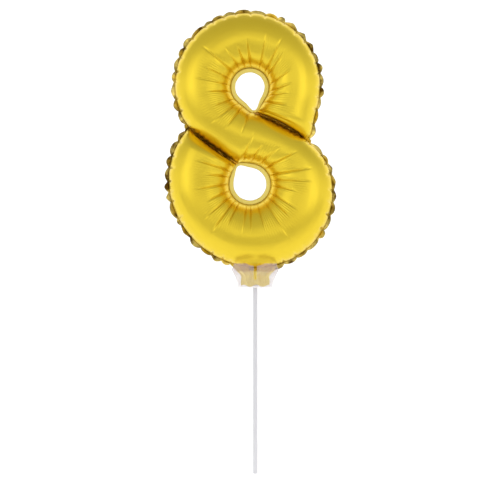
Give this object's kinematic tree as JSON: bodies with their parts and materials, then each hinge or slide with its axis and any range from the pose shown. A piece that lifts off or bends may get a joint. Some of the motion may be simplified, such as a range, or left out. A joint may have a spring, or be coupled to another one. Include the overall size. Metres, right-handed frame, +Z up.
{
  "type": "foil number balloon on a stick",
  "caption": "Air-filled foil number balloon in the shape of an eight, with a clear clip cup under it on a slim straight stick.",
  "frame": {"origin": "middle of the stick's foot, the end that is pushed into a cake, a pot or a foam block", "axes": "+Z up along the stick towards the balloon, -Y towards the balloon's front, +X to the right seen from the front"},
  "size_m": [0.1541, 0.0466, 0.4105],
  "materials": {
    "gold_film": "satin",
    "gold_weld": "satin",
    "gold_tail": "satin",
    "valve_film": "gloss",
    "clear_cup": "gloss",
    "stick_tube": "gloss"
  },
  "bodies": {
    "stick": {"stick": "stick_tube"},
    "cup": {"cup": "clear_cup"},
    "neck": {"neck_front_ply": "gold_tail", "neck_rear_ply": "gold_tail"},
    "balloon": {"front_film": "gold_film", "rear_film": "gold_film", "rim_seal": "gold_weld", "upper_eye_seal": "gold_weld", "lower_eye_seal": "gold_weld", "upper_crossing_seal": "gold_weld", "lower_crossing_seal": "gold_weld", "valve_rear_ply": "valve_film"},
    "valve_flap": {"valve_front_ply": "valve_film"}
  },
  "joints": [
    {"name": "cup_pull", "type": "slide", "parent": "stick", "child": "cup", "axis": [0, 0, 1], "range_m": [0, 0.012]},
    {"name": "tail_pull", "type": "slide", "parent": "cup", "child": "neck", "axis": [0, 0, 1], "range_m": [0, 0.02]},
    {"name": "balloon_nod", "type": "hinge", "parent": "neck", "child": "balloon", "pos_m": [0, 0, 0.1776], "axis": [1, 0, 0], "range_deg": [-10, 10], "stiffness_Nm_per_rad": 0.02},
    {"name": "valve_open", "type": "hinge", "parent": "balloon", "child": "valve_flap", "pos_m": [0, -0.00013, 0.1831], "axis": [1, 0, 0], "range_deg": [0, 10], "stiffness_Nm_per_rad": 0.0002}
  ]
}
